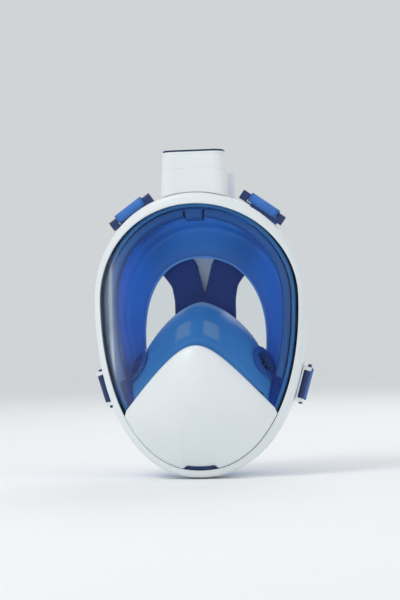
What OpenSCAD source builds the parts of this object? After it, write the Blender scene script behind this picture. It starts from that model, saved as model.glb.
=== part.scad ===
// Full face snorkel mask with a fold-back breathing tube, in millimetres.
// Origin: centre of the face opening. -Y looks out through the lens, +Z is up towards the tube.
// The tube is drawn folded down behind the mask, as it is stowed.

/* [Frame] */
// Width across the front frame
frame_w = 163; // [160:1:166]
// Height of the frame above its widest level
crown_h = 80; // [79:0.5:81]
// Height of the frame below its widest level
chin_h = 135; // [134:0.5:137]
// Depth of the frame wall behind the lens surface
frame_d = 22; // [21.5:0.5:22.5]
// Width of the frame lip that is seen around the lens, at the crown
lip_w = 8.4; // [7.5:0.1:9]
// Radius that the lens wraps round the face with
wrap_r = 120; // [118:1:124]

/* [Lens and chin] */
// Thickness of the lens
lens_t = 2.6; // [2.4:0.1:2.8]
// Height of the chin cover's rounded tip
arch_top = -5; // [-7:0.5:-4]
// How far the chin cover stands out from the lens surface
chin_bulge = 13; // [10:0.5:14]

/* [Face seal] */
// Half the width of the face opening
open_w = 48; // [46:0.5:50]
// Half the height of the face opening
open_h = 62.5; // [61:0.5:64]
// Thickness of the silicone
skirt_t = 1.8; // [1.6:0.1:2]

/* [Breathing tube] */
// Width of the tube
tube_w = 42; // [40:0.5:43]
// Depth of the tube, front to back
tube_d = 21; // [20:0.5:22]
// Length of the tube's straight body
tube_len = 168; // [150:1:172]

/* [Straps] */
// Width of the upper straps
upper_w = 25; // [23:0.5:26]
// Width of the lower straps
lower_w = 25; // [22:0.5:26]
// Thickness of the strap webbing
strap_t = 1.4; // [1.2:0.1:1.5]

/* [Hidden] */
$fn = 48;

half_w = frame_w / 2;
z_wide = 30;         // level where the frame is widest
lens_y = -66;        // front of the lens at its centre
rise_r = 500;        // radius that the lens curves up and down with
chin_power = 2.2;    // fullness of the lower outline
gap = 0.2;           // clearance between neighbouring pieces
wall = 2.6;          // thickness of the front frame's wall
around = 72;         // steps round a full loop

left = -1;
right = 1;

// ---------- curves that every shell shares ----------

function power(v, e) = sign(v) * pow(abs(v), e);
function mix(a, b, s) = a + (b - a) * s;
function unit(v) = v / norm(v);
function smooth(s) = let(c = min(1, max(0, s))) c * c * (3 - 2 * c);

// A point [x, z] of the frame's outline at angle t, moved inwards
function outline(t, inset) =
  let(low = sin(t) < 0, e = low ? 2 / chin_power : 1, h = (low ? chin_h : crown_h) - inset)
  [(half_w - inset) * power(cos(t), e), z_wide + h * power(sin(t), e)];

// How far the lens surface lies behind its front point, at [x, z]
function dish(p) = wrap_r - sqrt(wrap_r * wrap_r - p.x * p.x) + pow(p.y - z_wide, 2) / (2 * rise_r);

// A 3D point over [x, z], v behind the lens surface
function over(p, v) = [p.x, lens_y + dish(p) + v, p.y];

// A point of the frame at angle t, inset u, and v behind the lens surface
function rim(t, u, v) = over(outline(t, u), v);

// The lip is narrower at the sides and at the chin
function lip(t) = lip_w * (1 - 0.35 * pow(cos(t), 2) - 0.33 * pow(max(0, -sin(t)), 3));

// The rounded arch between the lens and the chin cover, at half-width x
arch_r = 20;
arch_x = 56.5;
arch_slope = 1.21;
function arch(x, drop) = arch_top - drop - arch_slope * (sqrt(x * x + arch_r * arch_r) - arch_r);

// Depth of the seal's rear face at half-width x
function seal_y(x) = -10 + 16 * pow(x / 60, 2);

// ---------- solids from grids of points ----------

// The two triangles of one cell
function cell(a, b, c, d) = [[a, b, c], [a, c, d]];

// A closed ring of equal closed sections
module ring_of(sections) {
  n = len(sections);
  m = len(sections[0]);
  function at(i, j) = (i % n) * m + j % m;
  polyhedron([for (s = sections) each s],
    [for (i = [0:n - 1], j = [0:m - 1]) each cell(at(i, j), at(i + 1, j), at(i + 1, j + 1), at(i, j + 1))]);
}

// A closed solid between two grids of the same size; wrap joins the last row to the first
module slab(outer, inner, wrap) {
  n = len(outer);
  m = len(outer[0]);
  base = n * m;
  last = wrap ? n - 1 : n - 2;
  function at(i, j) = (i % n) * m + j;
  skin = [for (i = [0:last], j = [0:m - 2])
    each cell(at(i, j), at(i + 1, j), at(i + 1, j + 1), at(i, j + 1))];
  back = [for (f = skin) [base + f[0], base + f[2], base + f[1]]];
  rims = [for (i = [0:last]) each concat(
    cell(at(i + 1, 0), at(i, 0), base + at(i, 0), base + at(i + 1, 0)),
    cell(at(i, m - 1), at(i + 1, m - 1), base + at(i + 1, m - 1), base + at(i, m - 1)))];
  ends = wrap ? [] : [for (j = [0:m - 2]) each concat(
    cell(at(0, j), at(0, j + 1), base + at(0, j + 1), base + at(0, j)),
    cell(at(n - 1, j + 1), at(n - 1, j), base + at(n - 1, j), base + at(n - 1, j + 1)))];
  polyhedron(concat([for (r = outer) each r], [for (r = inner) each r]), concat(skin, back, rims, ends));
}

// The grid's surface normal at row i, column j
function normal(g, i, j, wrap) =
  let(n = len(g), m = len(g[0]),
    i0 = wrap ? (i + n - 1) % n : max(0, i - 1), i1 = wrap ? (i + 1) % n : min(n - 1, i + 1),
    j0 = max(0, j - 1), j1 = min(m - 1, j + 1))
  unit(cross(g[i1][j] - g[i0][j], g[i][j1] - g[i][j0]));

function moved(g, d, wrap) =
  [for (i = [0:len(g) - 1]) [for (j = [0:len(g[0]) - 1]) g[i][j] + d * normal(g, i, j, wrap)]];

// A shell of even thickness about a grid
module shell(g, thick, wrap) {
  slab(moved(g, thick / 2, wrap), moved(g, -thick / 2, wrap), wrap);
}

// A polyline in a plane, given a thickness
function side_of(path, d) = [for (i = [0:len(path) - 1])
  let(a = path[max(0, i - 1)], b = path[min(len(path) - 1, i + 1)], t = unit(b - a))
  path[i] + d * [-t.y, t.x]];
function reversed(list) = [for (i = [len(list) - 1:-1:0]) list[i]];
function ribbon(path, thick) = concat(side_of(path, thick / 2), reversed(side_of(path, -thick / 2)));

// Angles round a loop
function turns(steps) = [for (i = [0:steps - 1]) 360 * i / steps];

// ---------- frame, lens and chin ----------

// Three windows through the crown: breath comes in by the middle one and leaves by the outer two
port_y = -52.5;
port_d = 11;

module crown_ports() {
  for (x = [[-17, -10], [-7.5, 7.5], [10, 17]]) translate([x[0], port_y, 92]) cube([x[1] - x[0], port_d, 25]);
}

module front_frame() {
  function section(t) = let(l = lip(t)) [for (p = [[0, frame_d], [0, 3], [0.4, 0.6], [1.6, -1.4], [3.4, -2.5],
    [l - 1.8, -2.4], [l - 0.5, -1.6], [l, -gap], [wall, -gap], [wall, frame_d]]) rim(t, p.x, p.y)];
  color("white") difference() {
    ring_of([for (t = turns(around)) section(t)]);
    crown_ports();
  }
}

// Clamps the skirt's flange and closes the back of the front frame
module rear_frame() {
  function section(t) = [for (p = [[wall + 0.3, frame_d + gap], [wall + 0.3, 6], [8, 6], [8.6, 7.4], [8.6, frame_d + 2.4],
    [1.2, frame_d + 2.4], [0, frame_d + 1.6], [0, frame_d + gap]]) rim(t, p.x, p.y)];
  color("white") difference() {
    ring_of([for (t = turns(around)) section(t)]);
    crown_ports();
  }
}

lens_inset = wall + 0.6;
lens_turn = -42;     // angle where the lens ends, beside the chin

module lens() {
  cols = 48;
  rows = 8;
  function point(i, j, v) =
    let(k = i / cols, t = mix(lens_turn, 180 - lens_turn, k), x = arch_x * (1 - 2 * k), b = [x, arch(x, 2.2)])
    over(mix(outline(t, lens_inset), b, j / rows), v);
  function grid(v) = [for (i = [0:cols]) [for (j = [0:rows]) point(i, j, v)]];
  color("lightcyan", 0.4) slab(grid(lens_t), grid(0), false);
}

module lens_seal() {
  function section(t) =
    [for (p = [[lens_inset, lens_t + gap], [7.8, lens_t + gap], [7.8, lens_t + 0.7], [lens_inset, lens_t + 0.7]])
      rim(t, p.x, p.y)];
  color("navy") ring_of([for (t = turns(around)) section(t)]);
}

// Inner wall behind the chin cover, which carries the drain valve
drain_z = -72;
drain_r = 12;
drain_slope = atan((drain_z - z_wide) / rise_r);

module at_drain() {
  translate(over([0, drain_z], 0)) rotate([90 - drain_slope, 0, 0]) children();
}

module chin_base() {
  cols = 32;
  rows = 6;
  function point(i, j, v) =
    let(k = i / cols, t = mix(lens_turn - 1, -180 - lens_turn + 1, k), x = arch_x * (1 - 2 * k), a = [x, arch(x, 2.6)])
    over(mix(a, outline(t, lens_inset), j / rows), v);
  function grid(v) = [for (i = [0:cols]) [for (j = [0:rows]) point(i, j, v)]];
  color("navy") difference() {
    slab(grid(0), grid(lens_t), false);
    at_drain() cylinder(h = 20, r = drain_r + 0.15, center = true);
  }
}

// Domed cover over the mouth; its lower edge leaves a slit for drained water
slit_half = 10;
slit_h = 3;

module chin_cover() {
  cols = 40;
  rows = 12;
  function notch(x) = slit_h * (1 - smooth((abs(x) - slit_half) / 4));
  function foot(t) = let(p = outline(t, lip(t) + 0.35)) p + [0, notch(p.x)];
  function dome(k, s) = chin_bulge * pow(max(0, sin(180 * s)), 0.75) * pow(max(0, sin(180 * k)), 0.8);
  function point(i, j, v) =
    let(k = i / cols, s = j / rows, t = mix(-41, -139, k), x = arch_x * (1 - 2 * k), a = [x, arch(x, 0)])
    over(mix(a, foot(t), s), v - dome(k, s));
  function grid(v) = [for (i = [0:cols]) [for (j = [0:rows]) point(i, j, v)]];
  color("white") slab(grid(-2.8), grid(-0.4), false);
}

// Valve seat: a ring with a hub and four spokes, flush with its upper face
module seat(r, low, high) {
  translate([0, 0, low]) difference() {
    cylinder(h = high - low, r = r);
    translate([0, 0, -1]) cylinder(h = high - low + 2, r = r - 2.4);
  }
  translate([0, 0, high - 1.6]) difference() {
    union() {
      cylinder(h = 1.6, r = 3.2);
      for (a = [0, 90]) rotate(a) translate([-r + 1.5, -0.7, 0]) cube([2 * r - 3, 1.4, 1.6]);
    }
    translate([0, 0, -1]) cylinder(h = 4, r = 1.4);
  }
}

// Umbrella disc: a thin disc with a stem through the hub, on the side of positive z
module umbrella(r) {
  translate([0, 0, 0.1]) cylinder(h = 0.8, r = r);
  translate([0, 0, -2.4]) cylinder(h = 2.9, r = 1.3);
}

module drain_seat() {
  color("navy") at_drain() seat(drain_r, -3.2, 1);
}

module drain_disc() {
  color("royalblue") at_drain() translate([0, 0, 1]) umbrella(10.4);
}

// ---------- silicone ----------

function opening(t) = [open_w * power(cos(t), 0.9), open_h * power(sin(t), 0.9)];

// One cross-section of the skirt: flange, side wall, soft rear bulge and curled lip
function skirt_row(t) =
  let(p = outline(t, 0), q = opening(t), reach = norm(q - p), rear = seal_y(mix(p.x, q.x, 0.5)),
    flange = [for (s = [[3.7, 4.6], [9.5, 4.6], [10.1, 6.5], [10.1, 15], [10.1, frame_d + 2.4]]) rim(t, s.x, s.y)],
    spots = [[8.6, rear - 7], [9.4, rear - 3.4], [13, rear - 0.8], [0.42 * reach, rear], [0.62 * reach, rear - 1],
      [0.82 * reach, rear - 3.4], [0.94 * reach, rear - 6.4], [reach, rear - 10]])
  concat(flange, [for (s = spots) let(c = mix(p, q, s.x / reach)) [c.x, s.y, c.y]]);

module face_skirt() {
  color("royalblue") difference() {
    shell([for (t = turns(around)) skirt_row(t)], skirt_t, true);
    crown_ports();
  }
}

// The cup over nose and mouth: its front edge on the lens and chin wall, its rear edge on the face
cup_c = [0, -24];
function cup_front(t) = let(x = 50 * cos(t)) sin(t) >= 0 ? [x, arch(x, -3)] : [x, arch(50, -3) + 44 * sin(t)];
function cup_rear(t) = let(e = sin(t) < 0 ? 1 : 1.29, h = sin(t) < 0 ? 34 : 44)
  [44 * power(cos(t), e), -16 + h * power(sin(t), e)];
function cup_point(t, s) =
  let(f = cup_front(t), r = cup_rear(t), p = mix(f, r, s), out = unit(p - cup_c) * (5 + 4 * min(0, sin(t))) * sin(180 * s),
    y0 = lens_y + dish(f) + lens_t + 1.4, y1 = -11 - 12 * pow(max(0, sin(t)), 2))
  [p.x + out.x, mix(y0, y1, s), p.y + out.y];
function cup_row(t) =
  let(f = cup_point(t, 0), r = cup_point(t, 1), of = unit([f.x, f.z] - cup_c), or = unit([r.x, r.z] - cup_c))
  concat([over([f.x, f.z] - (2.4 + 2 * smooth(3 * sin(t))) * of, lens_t + 1.4)],
    [for (s = [0.04, 0.2, 0.4, 0.6, 0.8, 0.93]) cup_point(t, s)],
    [[r.x - 1.5 * or.x, r.y, r.z - 1.5 * or.y], [r.x - 6 * or.x, r.y - 1.5, r.z - 6 * or.y]]);

// Inhale valves sit in the cup's cheeks, with local +z towards the inside of the cup
valve_turn = 25;
valve_s = 0.48;
valve_r = 11;
valve_at = cup_point(valve_turn, valve_s);
valve_dir = unit(cross(cup_point(valve_turn, valve_s + 0.1) - cup_point(valve_turn, valve_s - 0.1),
  cup_point(valve_turn + 6, valve_s) - cup_point(valve_turn - 6, valve_s)));

module at_valve(side) {
  d = valve_dir.x < 0 ? valve_dir : -valve_dir;
  mirror([side < 0 ? 1 : 0, 0, 0]) translate(valve_at)
    rotate([0, acos(d.z), atan2(d.y, d.x)]) children();
}

module nose_cup() {
  color("royalblue") difference() {
    shell([for (t = turns(60)) cup_row(t)], 1.6, true);
    for (side = [left, right]) at_valve(side) cylinder(h = 14, r = valve_r + 0.15, center = true);
  }
}

module inhale_seat(side) {
  color("royalblue") at_valve(side) {
    seat(valve_r, -1.6, 2.4);
    translate([0, 0, -2.8]) difference() {
      cylinder(h = 1.4, r = valve_r + 2);
      translate([0, 0, -1]) cylinder(h = 4, r = valve_r - 2.4);
    }
  }
}

module inhale_disc(side) {
  color("navy") at_valve(side) translate([0, 0, 2.4]) umbrella(9.6);
}

// Channels along the inside of the skirt's wall
module channel(from, to, steps, profile) {
  shell([for (i = [0:steps]) [for (p = profile) rim(mix(from, to, i / steps), p.x, p.y)]], 1.2, false);
}

// Takes breath from beside the nose cup up to the crown's outer window
module exhale_duct(side) {
  color("midnightblue") mirror([side < 0 ? 1 : 0, 0, 0])
    channel(-28, 83, 24, [[12, 5.4], [15.4, 5.6], [17.4, 8], [17.4, 17], [15.4, 19.6], [12, 20]]);
}

// Brings fresh air down from the crown's middle window
module intake_channel() {
  color("navy") difference() {
    channel(84.5, 95.5, 8, [[12, 5.4], [17, 5.4], [19.4, 7], [20.2, 10], [20.2, 17], [18.6, 20.4], [12, 20.8]]);
    translate([-5, -54, 84]) cube([10, 10, 9]);
  }
}

// ---------- socket on the crown ----------

socket_w = 47;
socket_foot = 51;
socket_d = 25;
socket_y = -46;
socket_top = 141;
corner_r = 9;

// A round-cornered rectangle as points, with more points along its long sides
function pill(w, d, r, n) = let(cx = w / 2 - r, cy = d / 2 - r) concat(
  [for (i = [0:n]) [cx, cy] + r * [cos(90 * i / n), sin(90 * i / n)]],
  [for (i = [1:n - 1]) [cx * (1 - 2 * i / n), d / 2]],
  [for (i = [0:n]) [-cx, cy] + r * [-sin(90 * i / n), cos(90 * i / n)]],
  [for (i = [0:n]) [-cx, -cy] - r * [cos(90 * i / n), sin(90 * i / n)]],
  [for (i = [1:n - 1]) [cx * (2 * i / n - 1), -d / 2]],
  [for (i = [0:n]) [cx, -cy] + r * [sin(90 * i / n), -cos(90 * i / n)]]);

// Height of the frame's outer wall under x
function crown_z(x) = z_wide + crown_h * sqrt(1 - pow(x / half_w, 2));

module snorkel_socket() {
  rows = 6;
  function column(p0, p1, low) = [for (j = [0:rows])
    let(s = j / rows, p = mix(p0, p1, s), z0 = crown_z(p0.x) + low)
    [p.x, socket_y + p.y, mix(z0, socket_top, s)]];
  function skin(w0, w1, d, r, low) =
    let(a = pill(w0, d, r, 6), b = pill(w1, d, r, 6)) [for (i = [0:len(a) - 1]) column(a[i], b[i], low)];
  color("whitesmoke") slab(skin(socket_foot, socket_w, socket_d, corner_r, 0.3),
    skin(socket_foot - 4.4, socket_w - 4.4, socket_d - 4.4, corner_r - 2.2, 0.3), true);
}

// Flat shapes with true arcs
module round_box(w, d, r) {
  square([w - 2 * r, d], center = true);
  square([w, d - 2 * r], center = true);
  for (x = [-1, 1], y = [-1, 1]) translate([x * (w / 2 - r), y * (d / 2 - r)]) circle(r);
}

module tray(w, d, r, z0, z1) {
  translate([0, socket_y, z0]) linear_extrude(z1 - z0) round_box(w, d, r);
}

module socket_gasket() {
  color("navy") difference() {
    tray(socket_w - 1, socket_d - 1, corner_r - 0.5, socket_top + 0.1, socket_top + 1.3);
    tray(socket_w - 5, socket_d - 5, corner_r - 2.5, socket_top, socket_top + 2);
  }
}

// Plate across the socket with a middle window for breathing in and side windows for breathing out
plate_z = 126;
flap_x = 10.6;

module valve_plate() {
  color("white") difference() {
    union() {
      tray(41.8, 20, 6.4, plate_z, plate_z + 2);
      for (side = [left, right]) translate([side * 9.4 - 0.5, socket_y - 9.6, plate_z + 2]) cube([1, 19.2, 12.5]);
    }
    translate([-7, socket_y - 7, plate_z - 1]) cube([14, 14, 4]);
    for (side = [left, right]) translate([side * 15.2 - 3.4, socket_y - 6, plate_z - 1]) cube([6.8, 12, 4]);
  }
}

module exhale_flap(side) {
  color("navy") translate([side > 0 ? flap_x : -flap_x - 9, socket_y - 7.2, plate_z + 2.1]) cube([9, 14.4, 0.9]);
}

// ---------- fold hinge ----------

pin_y = -13;
pin_z = 136;
pin_r = 2;
bracket_back = socket_y + socket_d / 2 + 0.2;

// Moves what is drawn upright on the socket to its folded place behind the mask
module folded() {
  translate([0, pin_y, pin_z]) rotate([180, 0, 0]) translate([0, -pin_y, -pin_z]) children();
}

// A cylinder along X
module rod(r, x0, x1) {
  translate([x0, 0, 0]) rotate([0, 90, 0]) cylinder(h = x1 - x0, r = r);
}

ear_in = 11.4;
ear_t = 3.6;

module hinge_bracket() {
  color("whitesmoke") difference() {
    union() {
      translate([-16, bracket_back, 119]) cube([32, 3, 20]);
      for (x = [-ear_in - ear_t, ear_in]) translate([x, 0, 0]) {
        translate([0, pin_y, pin_z]) rod(4.6, 0, ear_t);
        rotate([90, 0, 90]) linear_extrude(ear_t)
          polygon([[bracket_back, 120], [bracket_back, 139], [pin_y, pin_z + 4.6], [pin_y + 2, pin_z - 4.1]]);
      }
    }
    translate([0, pin_y, pin_z]) rod(pin_r, -30, 30);
    for (x = [-7, 7]) translate([x, 0, 124]) rotate([-90, 0, 0]) translate([0, 0, -60]) cylinder(h = 80, r = 1.3);
  }
}

module bracket_screws() {
  color("silver") for (x = [-7, 7]) translate([x, bracket_back + 3.1, 124]) rotate([-90, 0, 0]) difference() {
    union() {
      cylinder(h = 1.4, r = 2.6);
      translate([0, 0, -3]) cylinder(h = 3.1, r = 1.2);
    }
    translate([0, 0, 0.7]) {
      cube([3.6, 0.7, 2], center = true);
      cube([0.7, 3.6, 2], center = true);
    }
  }
}

module hinge_pin() {
  color("silver") translate([0, pin_y, pin_z]) {
    rod(pin_r - 0.05, -ear_in - ear_t - 0.6, ear_in + ear_t + 0.6);
    rod(3, ear_in + ear_t + 0.1, ear_in + ear_t + 1.3);
  }
}

// ---------- breathing tube, drawn upright on the socket ----------

base_z0 = socket_top + 1.5;
base_z1 = base_z0 + 24;
body_z0 = base_z0 + 6;
body_z1 = body_z0 + tube_len;

module tube_base() {
  back = socket_y + socket_d / 2;
  color("white") folded() difference() {
    union() {
      tray(socket_w + 1, socket_d, corner_r, base_z0, base_z1);
      rotate([90, 0, 90]) translate([0, 0, -ear_in + 0.4]) linear_extrude(2 * ear_in - 0.8)
        polygon([[back - 1, base_z0], [back - 1, base_z0 + 15], [back + 5, base_z0 + 11],
          [pin_y + 3.2, pin_z + 3.2], [pin_y - 1, pin_z - 4.4], [pin_y - 4.5, pin_z - 1], [pin_y - 6, base_z0]]);
      translate([0, pin_y, pin_z]) rod(4.5, -ear_in + 0.4, ear_in - 0.4);
    }
    tray(tube_w - 4, tube_d - 4, 7, base_z0 - 1, body_z0 + 0.5);
    tray(tube_w + 0.3, tube_d + 0.3, corner_r + 0.15, body_z0 - 0.2, base_z1 + 1);
    translate([0, pin_y, pin_z]) rod(pin_r + 0.05, -30, 30);
    translate([-4.2, socket_y - socket_d / 2 - 1, base_z0 - 1]) cube([8.4, 1.9, 15]);
  }
}

// Latch plate; it slides down over the socket's rim to hold the tube upright
module lock_slider() {
  color("royalblue") folded() translate([0, socket_y - socket_d / 2, base_z0]) {
    translate([-6.5, -1.7, 1]) cube([13, 1.5, 12]);
    translate([-4, -0.3, 6.6]) cube([8, 1, 6.4]);
    for (z = [3, 5.6, 8.2]) translate([-5, -2.3, z]) cube([10, 0.7, 1]);
  }
}

module tube_walls(w, d, r, t) {
  difference() {
    round_box(w, d, r);
    round_box(w - 2 * t, d - 2 * t, r - t);
  }
}

module tube_body() {
  color("white") folded() translate([0, socket_y, body_z0]) linear_extrude(tube_len) {
    tube_walls(tube_w, tube_d, corner_r, 1.8);
    for (x = [-10, 10]) translate([x, 0]) square([1.2, tube_d - 3], center = true);
  }
}

// ---------- dry top ----------

head_z0 = body_z1 - 12;
head_z1 = body_z1 + 26;
float_travel = 6;

module tube_head() {
  color("whitesmoke") folded() difference() {
    tray(tube_w + 4.6, tube_d + 4.6, corner_r + 2.3, head_z0, head_z1);
    tray(tube_w + 0.3, tube_d + 0.3, corner_r + 0.15, head_z0 - 1, body_z1 + 0.3);
    for (x = [[-17, -11.5], [-8, 8], [11.5, 17]]) translate([x[0], socket_y - 7, body_z1]) cube([x[1] - x[0], 14, 4]);
    tray(tube_w, tube_d, corner_r, body_z1 + 2, head_z1 + 1);
    for (z = [5, 9, 13]) translate([-15, socket_y - 20, body_z1 + z]) cube([30, 40, 2]);
  }
}

module float_body(side) {
  color("orangered") folded() translate([side * 10, socket_y, head_z1 - 16.2]) difference() {
    linear_extrude(12) round_box(17, 17, 3);
    translate([0, 0, -1]) linear_extrude(9) round_box(13, 13, 2);
  }
}

module head_seal() {
  color("navy") folded() difference() {
    tray(tube_w - 0.4, tube_d - 0.4, corner_r - 0.2, head_z1 - 4, head_z1 - 2);
    for (x = [-10, 10]) translate([x, socket_y, head_z1 - 5]) cylinder(h = 4, r = 5);
  }
}

module head_cap() {
  color("royalblue") folded() difference() {
    union() {
      tray(tube_w - 0.4, tube_d - 0.4, corner_r - 0.2, head_z1 - 1.8, head_z1 + 0.3);
      tray(tube_w + 5.6, tube_d + 5.6, corner_r + 2.8, head_z1 + 0.2, head_z1 + 6);
      tray(tube_w + 3, tube_d + 3, corner_r + 1.5, head_z1 + 6, head_z1 + 8);
      tray(tube_w - 3, tube_d - 3, corner_r - 1.5, head_z1 + 8, head_z1 + 9.4);
    }
    tray(tube_w - 6, tube_d - 6, 6, head_z1 - 3, head_z1 + 6);
  }
}

// ---------- head straps ----------

// Local frames with +z outwards from the frame's edge and x along it
upper_turn = 54;
upper_tilt = 35.5;
lower_turn = -27;
lower_tilt = 106.1;

module at_strap(side, turn, tilt) {
  p = rim(turn, 0, 15);
  translate([side * p.x, p.y, p.z]) rotate([0, side * tilt, 0]) children();
}

// Extrudes a path drawn as [z, y] across the strap's width
module webbing(path, width) {
  rotate([0, -90, 0]) translate([0, 0, -width / 2]) linear_extrude(width) polygon(ribbon(path, strap_t));
}

upper_y = rim(upper_turn, 0, 15).y;
lower_y = rim(lower_turn, 0, 15).y;
harness_y = 2.9;
cheek_y = 13.8;

module upper_loop(side) {
  slot = upper_w + 1.2;
  span = slot + 12;
  color("navy") at_strap(side, upper_turn, upper_tilt) difference() {
    union() {
      translate([-span / 2, -2, 0.5]) cube([span, 4, 5.9]);
      translate([0, 0, 6.4]) rod(1.6, -span / 2, span / 2);
    }
    translate([-slot / 2, -3, 1.8]) cube([slot, 6, 3]);
    translate([-slot / 2, -3, 1.8]) cube([slot, 1.9, 10]);
    translate([-slot / 2, 1.1, 1.8]) cube([slot, 3, 10]);
  }
}

module upper_strap(side) {
  h = harness_y - upper_y;
  color("cornflowerblue") at_strap(side, upper_turn, upper_tilt)
    webbing([[3, 7], [3, -0.8], [3.9, -2.6], [6.1, -3.3], [8.2, -2.6], [9, -0.8], [8.6, 7], [6.6, 16],
      [3, 26], [-1, h - 6], [-6, h - 2], [-14, h], [-57, h]], upper_w);
}

pad_t = 2.6;

module head_pad() {
  half = [[0, 34.5], [6, 59], [14, 70], [36, 54.4], [26, 41], [24, 30], [24, -8], [17, -32.5], [9, -28], [0, -26.5]];
  color("navy") translate([0, harness_y - strap_t / 2 - 0.15, 0]) rotate([90, 0, 0]) linear_extrude(pad_t)
    polygon(concat(half, [for (p = reversed([for (i = [1:len(half) - 2]) half[i]])) [-p.x, p.y]]));
}

// The lower strap runs from the pad out over the cheek of the skirt and forwards to its clip
module lower_strap(side) {
  h = harness_y - lower_y;
  c = cheek_y - lower_y;
  color("cornflowerblue") at_strap(side, lower_turn, lower_tilt)
    webbing([[-64, h], [-52, h], [-46, h + 2], [-39, c - 2.4], [-34, c], [-4, c], [1.5, c - 2], [4, c - 6], [4.2, c - 11]],
      lower_w);
}

module strap_slider(side) {
  c = cheek_y - lower_y;
  color("navy") at_strap(side, lower_turn, lower_tilt) translate([0, c, -19]) difference() {
    union() {
      cube([lower_w + 4, 4, 3.2], center = true);
      for (z = [-5, 5]) translate([0, 0, z]) rod(2.2, -lower_w / 2 - 2.5, lower_w / 2 + 2.5);
      for (x = [-1, 1]) translate([x * (lower_w / 2 + 1.5), 0, 0]) cube([2, 4, 10], center = true);
    }
    cube([lower_w + 0.8, strap_t + 0.6, 30], center = true);
  }
}

// Clip that the lower strap ends in; it swings on a pin held by a lug on the frame
clip_z = 4.2;

module lower_lug(side) {
  color("white") at_strap(side, lower_turn, lower_tilt) difference() {
    union() {
      translate([-13.5, -3, 0.25]) cube([27, 6, 1.2]);
      for (x = [-13.5, 11]) translate([x, -3, 0.25]) cube([2.5, 6, clip_z + 2]);
    }
    translate([0, 0, clip_z]) rod(1.25, -20, 20);
  }
}

module clip_pin(side) {
  color("silver") at_strap(side, lower_turn, lower_tilt) translate([0, 0, clip_z]) rod(1.2, -13.8, 13.8);
}

module lower_clip(side) {
  color("navy") at_strap(side, lower_turn, lower_tilt) difference() {
    union() {
      translate([0, 0, clip_z]) rod(2.4, -10.6, 10.6);
      translate([-10.6, 0, clip_z - 1.2]) cube([21.2, 6, 2.4]);
      translate([-15.5, 5, clip_z - 1.2]) cube([31, 4, 2.4]);
      for (x = [-15.5, 13]) translate([x, 5, clip_z - 1.2]) cube([2.5, 12, 2.4]);
      translate([0, 16, clip_z]) rod(1.2, -15.5, 15.5);
    }
    translate([0, 0, clip_z]) rod(1.3, -20, 20);
  }
}

module strap_tail(side) {
  color("cornflowerblue") at_strap(side, lower_turn, lower_tilt)
    webbing([[clip_z - 2.2, 21], [clip_z - 2.2, 15.6], [clip_z - 1.4, 14.2], [clip_z, 13.6], [clip_z + 1.4, 14.2],
      [clip_z + 2.2, 15.6], [clip_z + 2.2, 21]], lower_w);
}

// ---------- output ----------

front_frame();
rear_frame();
lens();
lens_seal();
chin_cover();
chin_base();
face_skirt();
nose_cup();
exhale_duct(left);  // exhale_duct_left
exhale_duct(right);  // exhale_duct_right
intake_channel();
inhale_seat(left);  // inhale_seat_left
inhale_seat(right);  // inhale_seat_right
inhale_disc(left);  // inhale_disc_left
inhale_disc(right);  // inhale_disc_right
drain_seat();
drain_disc();
snorkel_socket();
socket_gasket();
valve_plate();
exhale_flap(left);  // exhale_flap_left
exhale_flap(right);  // exhale_flap_right
hinge_bracket();
bracket_screws();
hinge_pin();
tube_base();
lock_slider();
tube_body();
tube_head();
head_seal();
float_body(left);  // float_left
float_body(right);  // float_right
head_cap();
upper_loop(left);  // upper_loop_left
upper_loop(right);  // upper_loop_right
upper_strap(left);  // upper_strap_left
upper_strap(right);  // upper_strap_right
head_pad();
lower_strap(left);  // lower_strap_left
lower_strap(right);  // lower_strap_right
strap_slider(left);  // strap_slider_left
strap_slider(right);  // strap_slider_right
lower_lug(left);  // lower_lug_left
lower_lug(right);  // lower_lug_right
clip_pin(left);  // clip_pin_left
clip_pin(right);  // clip_pin_right
lower_clip(left);  // lower_clip_left
lower_clip(right);  // lower_clip_right
strap_tail(left);  // strap_tail_left
strap_tail(right);  // strap_tail_right
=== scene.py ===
"""Visual model of the full face snorkel mask: smooth shells, silicone, webbing and a clear lens."""
import math

import bmesh
import bpy
from mathutils import Matrix, Vector, geometry


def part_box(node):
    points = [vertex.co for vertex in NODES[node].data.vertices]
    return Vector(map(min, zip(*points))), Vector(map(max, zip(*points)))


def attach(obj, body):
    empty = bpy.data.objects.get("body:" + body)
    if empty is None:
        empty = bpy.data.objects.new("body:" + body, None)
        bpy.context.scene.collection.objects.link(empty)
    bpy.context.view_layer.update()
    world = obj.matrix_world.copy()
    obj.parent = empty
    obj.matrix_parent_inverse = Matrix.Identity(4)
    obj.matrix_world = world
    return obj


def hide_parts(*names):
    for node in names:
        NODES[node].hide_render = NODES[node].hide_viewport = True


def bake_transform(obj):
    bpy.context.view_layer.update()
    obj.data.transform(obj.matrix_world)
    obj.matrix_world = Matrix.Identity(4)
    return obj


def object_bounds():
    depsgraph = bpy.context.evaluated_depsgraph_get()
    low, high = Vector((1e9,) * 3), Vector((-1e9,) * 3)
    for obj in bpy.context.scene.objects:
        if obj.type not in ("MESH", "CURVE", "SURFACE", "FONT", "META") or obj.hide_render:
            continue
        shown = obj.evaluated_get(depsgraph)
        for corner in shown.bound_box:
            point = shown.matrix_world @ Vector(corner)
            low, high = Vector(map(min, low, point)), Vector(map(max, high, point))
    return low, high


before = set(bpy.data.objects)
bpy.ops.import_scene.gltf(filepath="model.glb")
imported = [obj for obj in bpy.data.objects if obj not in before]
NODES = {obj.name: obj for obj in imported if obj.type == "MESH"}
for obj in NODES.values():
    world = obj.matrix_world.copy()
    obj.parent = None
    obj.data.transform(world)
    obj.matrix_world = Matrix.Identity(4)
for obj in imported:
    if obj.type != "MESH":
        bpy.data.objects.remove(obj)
cad_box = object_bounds()
MM = 0.001
SIDES = {"left": -1, "right": 1}

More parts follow.
